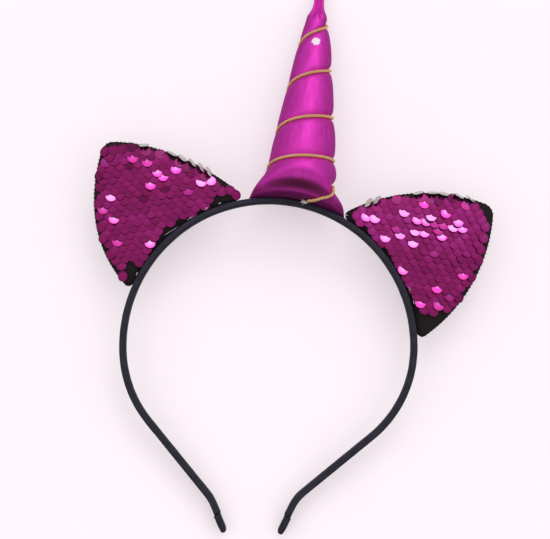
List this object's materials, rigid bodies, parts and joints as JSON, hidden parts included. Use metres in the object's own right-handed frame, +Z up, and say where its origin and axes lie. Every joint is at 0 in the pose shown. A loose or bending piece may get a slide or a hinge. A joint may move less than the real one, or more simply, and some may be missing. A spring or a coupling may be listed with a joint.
{
  "type": "unicorn horn headband",
  "caption": "Costume headband: a ribbon-wrapped springy band with a stuffed magenta horn wound in gold cord and padded sequinned ears.",
  "frame": {"origin": "bottom centre of the whole headband's box, on the surface that it lies on", "axes": "+X to the right as the headband lies face up and is seen from its front, which is the side that left and right in the names are told from, +Y from the band's ends to the horn's tip, +Z up from the surface, out of the headband's front"},
  "size_m": [0.1874, 0.268, 0.0356],
  "materials": {
    "ribbon": "dark navy satin ribbon, wrapped lengthwise",
    "ribbon_end": "dark navy satin ribbon, folded over",
    "horn_cloth": "magenta metallic cloth with a soft sheen",
    "gold_cord": "twisted metallic gold cord",
    "ear_knit": "matt black knit cloth",
    "sequins": "glossy magenta film with a silver reverse"
  },
  "bodies": {
    "root": {"band": "ribbon", "end_wrap_left": "ribbon_end", "end_wrap_right": "ribbon_end", "horn": "horn_cloth", "horn_cord": "gold_cord", "ear_left": "ear_knit", "ear_right": "ear_knit", "ear_left_sequins": "sequins", "ear_right_sequins": "sequins"}
  },
  "joints": []
}
